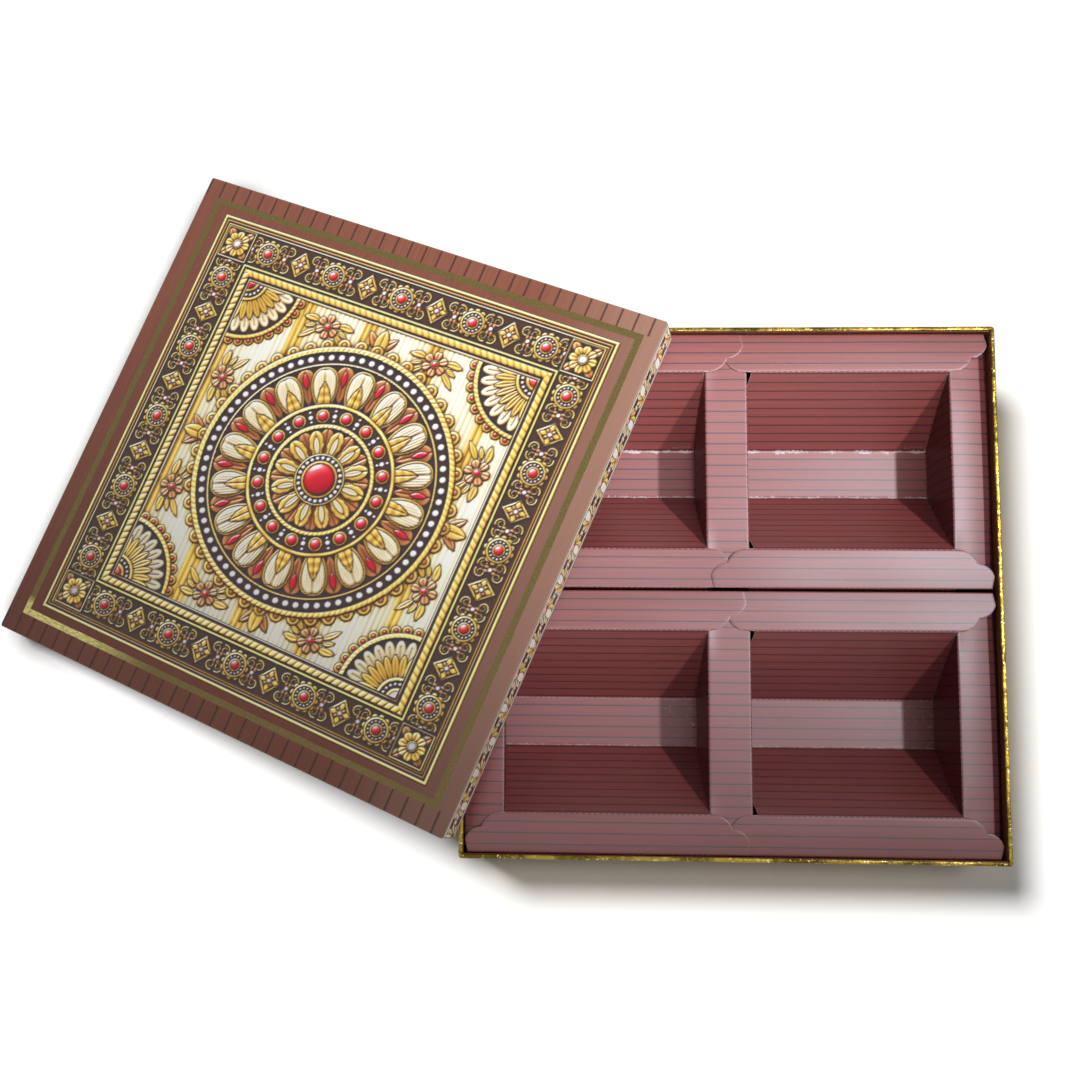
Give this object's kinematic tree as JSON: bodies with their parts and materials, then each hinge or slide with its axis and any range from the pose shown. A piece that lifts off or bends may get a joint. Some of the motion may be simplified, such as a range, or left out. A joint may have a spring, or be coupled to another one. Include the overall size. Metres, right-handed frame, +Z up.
{
  "type": "rigid sweet box",
  "caption": "Square rigid gift box for sweets with a loose lift-off lid leaning on its base, and folded card trays with ogee-ended ledges inside.",
  "frame": {"origin": "on the table, under the centre of the base's underside", "axes": "+X to the box's right, +Y to its rear, +Z up; the loose lid lies to the left, at -X"},
  "size_m": [0.4717, 0.3342, 0.0792],
  "materials": {
    "greyboard": "raw grey millboard",
    "stay_tape": "kraft paper tape",
    "gold_foil_paper": "bright gold foil paper, finely creased",
    "bottom_paper": "uncoated paper",
    "striped_lining_paper": "satin brown paper with thin dark lines",
    "lid_print_paper": "satin printed paper",
    "lid_lining_paper": "uncoated white paper",
    "tray_card": "satin pearl card with thin lines"
  },
  "bodies": {
    "base": {"base_floor_board": "greyboard", "base_front_wall": "greyboard", "base_rear_wall": "greyboard", "base_left_wall": "greyboard", "base_right_wall": "greyboard", "base_corner_stays": "stay_tape", "base_wrap": "gold_foil_paper", "base_bottom_sheet": "bottom_paper", "base_floor_lining": "striped_lining_paper", "base_wall_lining": "striped_lining_paper"},
    "lid": {"lid_top_board": "greyboard", "lid_front_wall": "greyboard", "lid_rear_wall": "greyboard", "lid_left_wall": "greyboard", "lid_right_wall": "greyboard", "lid_corner_stays": "stay_tape", "lid_wrap": "lid_print_paper", "lid_lining": "lid_lining_paper"},
    "rear_trays": {"rear_left_tray": "tray_card", "rear_right_tray": "tray_card"},
    "front_trays": {"front_left_tray": "tray_card", "front_right_tray": "tray_card"}
  },
  "joints": [
    {"name": "lid_lift", "type": "slide", "parent": "base", "child": "lid", "axis": [0, 0, 1], "range_m": [0, 0.15]},
    {"name": "rear_trays_lift", "type": "slide", "parent": "base", "child": "rear_trays", "axis": [0, 0, 1], "range_m": [0, 0.075]},
    {"name": "front_trays_lift", "type": "slide", "parent": "base", "child": "front_trays", "axis": [0, 0, 1], "range_m": [0, 0.075]}
  ],
  "couplings": [
    {"joint": "rear_trays_lift", "follows": "lid_lift", "ratio": 0.5},
    {"joint": "front_trays_lift", "follows": "lid_lift", "ratio": 0.5}
  ]
}
